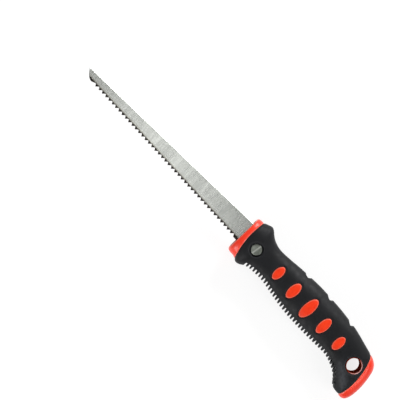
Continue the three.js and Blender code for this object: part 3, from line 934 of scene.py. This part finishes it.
def tang_outline(clearance):
    """From the spine side of the tang's root round its end to the tooth side."""
    half = TANG_HALF_HEIGHT + clearance
    end = TANG_END[0] + clearance
    upper = (end - half / 2, TANG_END[1] + half)
    lower = (end - half / 2, TANG_END[1] - half)
    tail = (end, TANG_END[1])
    return [
        (TANG_START[0], TANG_START[1] + half),
        upper,
        *bent(upper, (end, TANG_END[1] + half), tail),
        *bent(tail, (end, TANG_END[1] - half), lower),
    ]


def tang_slot():
    """Space in the core for the heel of the blade and the tang."""
    heel_back = SPINE_HEEL[0] + GAP
    heel_foot = tooth_point(SPINE_HEEL[0] - TOOTH_LINE_START[0], -GAP)[1]
    outline = [
        (0, SPINE_HEEL[1] + GAP),
        (heel_back, SPINE_HEEL[1] + GAP),
        *tang_outline(GAP),
        (heel_back, heel_foot),
        (0, tooth_point(-TOOTH_LINE_START[0], -GAP)[1]),
    ]
    half = BLADE_THICKNESS / 2 + GAP
    return prism(outline, -half, half)


def make_core():
    core = closed_body("core", body_points(latitudes(CORE_STEPS), 0, False))
    seat_floor = BOLT_HEAD_TOP - BOLT_HEAD_HEIGHT - GAP
    seat = circle(BOLT, BOLT_HEAD_RADIUS + GAP)
    cut(
        core,
        ahead_of_front(NOSE_SET_BACK),
        tang_slot(),
        prism(circle(BOLT, BARREL_RADIUS + GAP)),
        prism(seat, seat_floor, TALL / 2),
        prism(seat, -TALL / 2, -seat_floor),
        *[prism(circle(pin_centre(x), TANG_PIN_RADIUS + GAP, 48)) for x in TANG_PIN_XS],
        prism(circle(HANG_HOLE, SLEEVE_RADIUS + GAP)),
    )
    finish_piece(core, "core", ["handle_core"], CORE)


def make_pad(index, side, name, node):
    """One oval pad: a crowned top with a rounded rim, over a floor that follows the core."""
    rim_steps, around = 26, 96
    angles = np.linspace(0, 2 * math.pi, around, endpoint=False)
    shares = np.sin(np.linspace(0, math.pi / 2, rim_steps))
    across = np.outer(np.cos(angles), shares)
    up = np.outer(np.sin(angles), shares)
    top = oval_points(index, 0, across, up)
    inward = -oval_distance(top[..., 0], top[..., 1], index, 0)
    crown = PROUD * (0.55 + 0.45 * (1 - shares**2))
    height = side_height(top[..., 0], top[..., 1]) + crown - rolled(inward, PAD_ROUND)
    floor = side_height(top[..., 0], top[..., 1], GAP, skinned=False)
    rings = np.concatenate([
        np.dstack([top, side * height]),
        np.dstack([top, side * floor])[:, ::-1],
    ], axis=1)
    pad = make_piece(name, rings.reshape(-1, 3), grid_faces(around, 2 * rim_steps, True), 0.01)
    x, y, _ = side_view(pad)
    # Painted highlight round the pad's rounded rim
    rim = 1 - smoothstep(0.15, 1.0, -oval_distance(x, y, index, 0))
    paint(pad, "rim", rim)
    finish_piece(pad, name, [node], PAD)


def make_sleeve():
    """Tube through the handle whose lips are rounded and follow the handle's sides."""
    around, lip_steps = 128, 16
    middle = (SLEEVE_RADIUS + HANG_HOLE_RADIUS) / 2
    half_wall = (SLEEVE_RADIUS - HANG_HOLE_RADIUS) / 2
    lip = np.linspace(0, math.pi, lip_steps)
    radii = middle - half_wall * np.cos(lip)
    rises = SLEEVE_LIP * np.sin(lip) - SLEEVE_SET_DOWN
    angles = np.linspace(0, 2 * math.pi, around, endpoint=False)
    directions = np.column_stack([np.cos(angles), np.sin(angles)])
    at = HANG_HOLE + middle * directions
    surface = side_height(at[:, 0], at[:, 1])
    rings = []
    for direction, height in zip(directions, surface):
        flat = HANG_HOLE + radii[:, None] * direction
        upper = np.column_stack([flat, height + rises])
        lower = (upper * (1, 1, -1))[::-1]
        rib = np.column_stack([
            HANG_HOLE + np.array(SLEEVE_BEAD)[:, :1] * direction,
            np.array(SLEEVE_BEAD)[:, 1],
        ])
        rings.append(np.concatenate([upper, rib, lower, upper[:1]]))
    points = np.concatenate(rings)
    faces = grid_faces(around, 2 * lip_steps + len(SLEEVE_BEAD) + 1, True)
    sleeve = make_piece("sleeve", points, faces, merge=0.002)
    x, y, z = side_view(sleeve)
    lip_height = np.abs(z) - side_height(x, y)
    # Painted highlight on the lip, on the tail side of the hole only
    sheen_side = np.clip(1.2 * (x - HANG_HOLE[0]) / SLEEVE_RADIUS, 0, 1)
    paint(sleeve, "rim", smoothstep(-SLEEVE_SET_DOWN, -0.7, lip_height) * sheen_side)
    finish_piece(sleeve, "sleeve", ["hang_hole_sleeve"], SHADED_SLEEVE)


# ---------------------------------------------------------------- fasteners

def turned(profile, centre, around=96):
    """Solid of (radius, height) pairs turned about an upright axis."""
    angles = np.linspace(0, 2 * math.pi, around, endpoint=False)
    profile = np.array(profile, float)
    radii, heights = profile[:, 0], profile[:, 1]
    points = np.stack([
        centre[0] + np.outer(np.cos(angles), radii),
        centre[1] + np.outer(np.sin(angles), radii),
        np.tile(heights, (around, 1)),
    ], axis=-1)
    faces = grid_faces(around, len(profile), True)
    return make_piece("turned", points.reshape(-1, 3), faces, merge=0.002)


def head_profile():
    """From under a bolt head's rim over its low dome to the middle."""
    under = BOLT_HEAD_TOP - BOLT_HEAD_HEIGHT
    rim_round, dome = 0.5, 0.25
    corner = np.linspace(0, math.pi / 2, 7)
    rim = [
        (BOLT_HEAD_RADIUS - rim_round + rim_round * math.cos(a),
         BOLT_HEAD_TOP - dome - rim_round + rim_round * math.sin(a))
        for a in corner
    ]
    flat = BOLT_HEAD_RADIUS - rim_round
    crown = [(r, BOLT_HEAD_TOP - dome * (r / flat) ** 2) for r in np.linspace(flat, 0, 9)[1:]]
    return [(BOLT_HEAD_RADIUS - 0.15, under), (BOLT_HEAD_RADIUS, under + 0.15), *rim, *crown]


def driver_slot(side):
    half = SLOT_WIDTH / 2
    along = np.array([-math.sin(SLOT_TURN), math.cos(SLOT_TURN)]) * 2 * BOLT_HEAD_RADIUS
    across = np.array([math.cos(SLOT_TURN), math.sin(SLOT_TURN)]) * half
    outline = [BOLT - along - across, BOLT - along + across, BOLT + along + across,
               BOLT + along - across]
    low = BOLT_HEAD_TOP - SLOT_DEPTH
    ends = (low, TALL / 2) if side > 0 else (-TALL / 2, -low)
    return prism(outline, *ends)


def in_driver_slot(piece):
    """1 on the slot's floor, which gets a painted highlight, and 0 elsewhere."""
    x, y, z = side_view(piece)
    across = (x - BOLT[0]) * math.cos(SLOT_TURN) + (y - BOLT[1]) * math.sin(SLOT_TURN)
    floor = BOLT_HEAD_TOP - SLOT_DEPTH
    return (abs(across) < SLOT_WIDTH / 2 + 0.02) & (abs(abs(z) - floor) < 0.02)


def make_screw():
    chamfer = 0.4
    screw = turned([
        (0, BOLT_SHANK_END),
        (BOLT_SHANK_RADIUS - chamfer, BOLT_SHANK_END),
        (BOLT_SHANK_RADIUS, BOLT_SHANK_END + chamfer),
        (BOLT_SHANK_RADIUS, BOLT_HEAD_TOP - BOLT_HEAD_HEIGHT),
        *head_profile(),
    ], BOLT)
    cut(screw, driver_slot(1))
    # Painted highlight on the slot's floor
    paint(screw, "slot_sheen", in_driver_slot(screw))
    finish_piece(screw, "screw", ["blade_screw"], ZINC, sharp=30)


def make_nut():
    chamfer = 0.3
    bore = BOLT_SHANK_RADIUS + GAP
    profile = [
        (0, -BOLT_SHANK_END + GAP),
        (bore, -BOLT_SHANK_END + GAP),
        (bore, -BARREL_END),
        (BARREL_RADIUS - chamfer, -BARREL_END),
        (BARREL_RADIUS, -BARREL_END + chamfer),
        (BARREL_RADIUS, BOLT_HEAD_TOP - BOLT_HEAD_HEIGHT),
        *head_profile(),
    ]
    nut = turned([(radius, -height) for radius, height in profile], BOLT)
    cut(nut, driver_slot(-1))
    # Painted highlight on the slot's floor
    paint(nut, "slot_sheen", in_driver_slot(nut))
    finish_piece(nut, "nut", ["blade_nut"], ZINC, sharp=30)


def make_pin(name, node, x):
    chamfer = 0.4
    end = TANG_PIN_HALF_LENGTH
    rim = TANG_PIN_RADIUS
    pin = turned([
        (0, -end), (rim - chamfer, -end), (rim, chamfer - end),
        (rim, end - chamfer), (rim - chamfer, end), (0, end),
    ], pin_centre(x), 48)
    finish_piece(pin, name, [node], ZINC, sharp=30)


# ---------------------------------------------------------------- the blade

def blade_outline():
    """Points round the blade, and for each the chamfer on its left and on its right:
    how far it reaches in and how deep it goes. Teeth are ground left and right in turn."""
    fine = (SPINE_CHAMFER, SPINE_CHAMFER / 2)
    plain = (0.05, 0.05)
    ground = (GROUND_WIDTH, GROUND_DEPTH)
    tip_foot = tooth_point(-3.8, 0.4)
    rows = [(SPINE_TIP, fine, fine)]
    lead = (SPINE_TIP[0] + 3.5, tip_foot[1] + 0.6)
    rows += [(p, fine, fine) for p in bent(SPINE_TIP, lead, tip_foot, 24)]
    for i in range(TOOTH_COUNT + 1):
        start = i * TOOTH_PITCH
        sides = (ground, plain) if i % 2 else (plain, ground)
        rows.append((tooth_point(start, TOOTH_DEPTH), *sides))
        rows.append((tooth_point(start + 0.3 * TOOTH_PITCH, 0), *sides))
        if i < TOOTH_COUNT:
            rows.append((tooth_point(start + 0.88 * TOOTH_PITCH, TOOTH_DEPTH), *sides))
    rows.append((tooth_point(SPINE_HEEL[0] - TOOTH_LINE_START[0], 0), plain, plain))
    rows += [(np.array(p), plain, plain) for p in tang_outline(0)[::-1]]
    rows.append((SPINE_HEEL, fine, fine))
    return rows


def inset(points, reaches):
    """Outline moved inward at each point by its own distance, square to the edges."""
    before = points - np.roll(points, 1, axis=0)
    after = np.roll(points, -1, axis=0) - points
    before /= np.linalg.norm(before, axis=1, keepdims=True)
    after /= np.linalg.norm(after, axis=1, keepdims=True)
    left_before = np.column_stack([-before[:, 1], before[:, 0]])
    left_after = np.column_stack([-after[:, 1], after[:, 0]])
    share = np.maximum(1 + (left_before * left_after).sum(axis=1), 0.5)
    return points + (left_before + left_after) / share[:, None] * reaches[:, None]


def make_blade():
    rows = blade_outline()
    points = np.array([row[0] for row in rows], float)
    left, right = (np.array([row[i] for row in rows], float) for i in (1, 2))
    half = BLADE_THICKNESS / 2
    count = len(points)
    loops = [
        (inset(points, left[:, 0]), np.full(count, half)),
        (points, half - left[:, 1]),
        (points, right[:, 1] - half),
        (inset(points, right[:, 0]), np.full(count, -half)),
    ]
    placed = np.concatenate([np.column_stack(loop) for loop in loops])
    faces = [tuple(range(count)), tuple(range(3 * count, 4 * count))[::-1]]
    for ring in range(3):
        for i in range(count):
            j = (i + 1) % count
            low, high = ring * count, (ring + 1) * count
            faces.append((low + i, high + i, high + j, low + j))
    blade = make_piece("blade", placed, faces)
    cut(
        blade,
        prism(circle(BOLT, BARREL_RADIUS + GAP)),
        *[prism(circle(pin_centre(x), TANG_PIN_RADIUS + GAP, 48)) for x in TANG_PIN_XS],
    )
    finish_piece(blade, "blade", ["saw_blade"], BLADE, sharp=12)


# ---------------------------------------------------------------- the whole saw

def make_saw():
    body = closed_body("body", outer_points())
    void = closed_body("void", body_points(latitudes(CORE_STEPS), GAP, False))
    make_grip(body, void)
    make_band(body, void)
    make_cap(body, void)
    bpy.data.objects.remove(body)
    bpy.data.objects.remove(void)
    make_core()
    for index in range(len(PADS)):
        make_pad(index, 1, f"pad_left_{index + 1}", f"left_pad_{index + 1}")
        make_pad(index, -1, f"pad_right_{index + 1}", f"right_pad_{index + 1}")
    make_sleeve()
    make_screw()
    make_nut()
    for index, x in enumerate(TANG_PIN_XS):
        make_pin(f"pin_{index + 1}", f"tang_pin_{index + 1}", x)
    make_blade()


# ---------------------------------------------------------------- floor, light and camera

VIEW_CENTRE = np.array([-34.7, -6.75])  # middle of the picture in the side view
VIEW_WIDTH = 300.0
VIEW_DISTANCE = 1100.0
VIEW_TURN = math.radians(43)  # the picture's right, turned from the saw's X
TABLE_GLOW = 0.8  # light that the pale table gives off by itself


def make_floor():
    size = 6.0
    mesh = bpy.data.meshes.new("floor")
    corners = [(-size, -size, 0), (size, -size, 0), (size, size, 0), (-size, size, 0)]
    mesh.from_pydata(corners, [], [(0, 1, 2, 3)])
    floor = bpy.data.objects.new("floor", mesh)
    bpy.context.scene.collection.objects.link(floor)
    finish = Finish("light_table")
    finish.set(
        Base_Color=(0.25, 0.25, 0.25, 1),
        Roughness=0.9,
        Specular_IOR_Level=0.1,
        Emission_Color=(1, 1, 1, 1),
        Emission_Strength=TABLE_GLOW,
    )
    floor.data.materials.append(finish.material)


def view_to_frame(right, up):
    """Direction in the row frame of a step to the right and up in the picture."""
    turn, across = math.cos(VIEW_TURN), math.sin(VIEW_TURN)
    return np.array([right * turn - up * across, right * across + up * turn])


def make_camera():
    data = bpy.data.cameras.new("camera")
    data.sensor_width = 36
    data.lens = data.sensor_width * VIEW_DISTANCE / VIEW_WIDTH
    data.clip_end = 20
    camera = bpy.data.objects.new("camera", data)
    camera.location = (np.array([*VIEW_CENTRE, VIEW_DISTANCE]) + SHIFT) * MM
    camera.rotation_euler = (0, 0, VIEW_TURN)
    bpy.context.scene.collection.objects.link(camera)
    bpy.context.scene.camera = camera


def make_light(name, right, up, height, size, power):
    """Square softbox, placed from the picture's middle and aimed at it."""
    data = bpy.data.lights.new(name, "AREA")
    data.size = size
    data.energy = power
    light = bpy.data.objects.new(name, data)
    centre = (np.array([*VIEW_CENTRE, 0]) + SHIFT) * MM
    offset = np.array([*view_to_frame(right, up), height])
    light.location = centre + offset
    aim = -offset / np.linalg.norm(offset)
    light.rotation_euler = (
        math.acos(-aim[2]),
        0,
        math.atan2(aim[1], aim[0]) - math.pi / 2,
    )
    bpy.context.scene.collection.objects.link(light)


def make_world(strength):
    world = bpy.data.worlds.new("studio")
    world.use_nodes = True
    background = world.node_tree.nodes["Background"]
    background.inputs["Color"].default_value = (1, 1, 1, 1)
    background.inputs["Strength"].default_value = strength
    bpy.context.scene.world = world
    bpy.context.scene.view_settings.view_transform = "Standard"


make_saw()
make_floor()
make_camera()
make_world(0.18)
make_light("key", 0.75, 0.8, 0.5, 0.6, 16.5)
make_light("overhead", -0.08, 0.075, 1.7, 0.28, 0.62)
make_light("fill", -0.65, -0.69, 0.6, 0.6, 9)
make_light("tail", 0.75, -0.6, 0.7, 0.5, 3)
